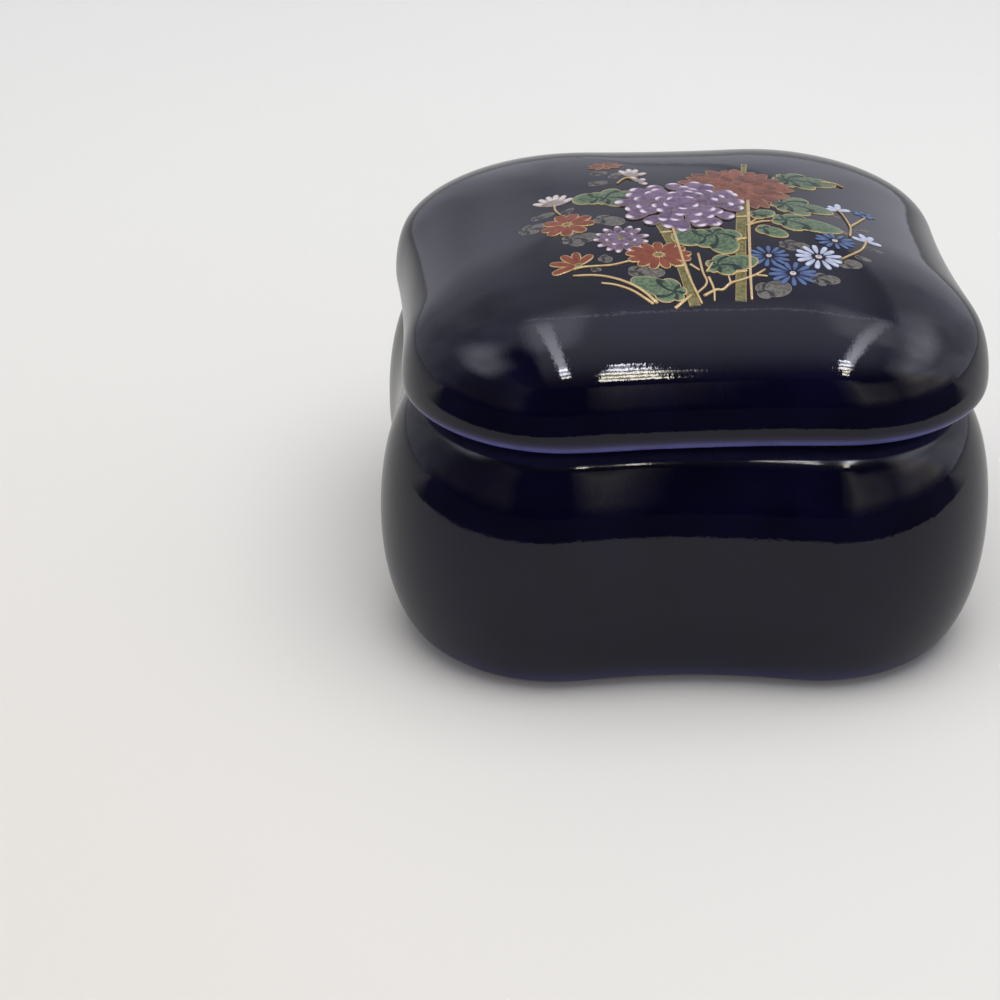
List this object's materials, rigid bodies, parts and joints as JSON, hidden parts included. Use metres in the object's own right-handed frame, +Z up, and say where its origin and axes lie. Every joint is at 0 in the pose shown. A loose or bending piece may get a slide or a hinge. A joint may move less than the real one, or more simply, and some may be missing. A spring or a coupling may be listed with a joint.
{
  "type": "ceramic trinket box",
  "caption": "Small glazed porcelain trinket box with a cushion-shaped hollow base and a domed lid that lifts off.",
  "frame": {"origin": "on the table, under the middle of the box", "axes": "+Z up, +X right and -Y towards the front, the side that the flower spray on the lid stands upright to"},
  "size_m": [0.0642, 0.0642, 0.0432],
  "materials": {
    "cobalt_glaze": "gloss",
    "painted_enamel": "satin",
    "gilding": "satin"
  },
  "bodies": {
    "root": {"box_base": "cobalt_glaze", "lid": "cobalt_glaze"}
  },
  "joints": []
}
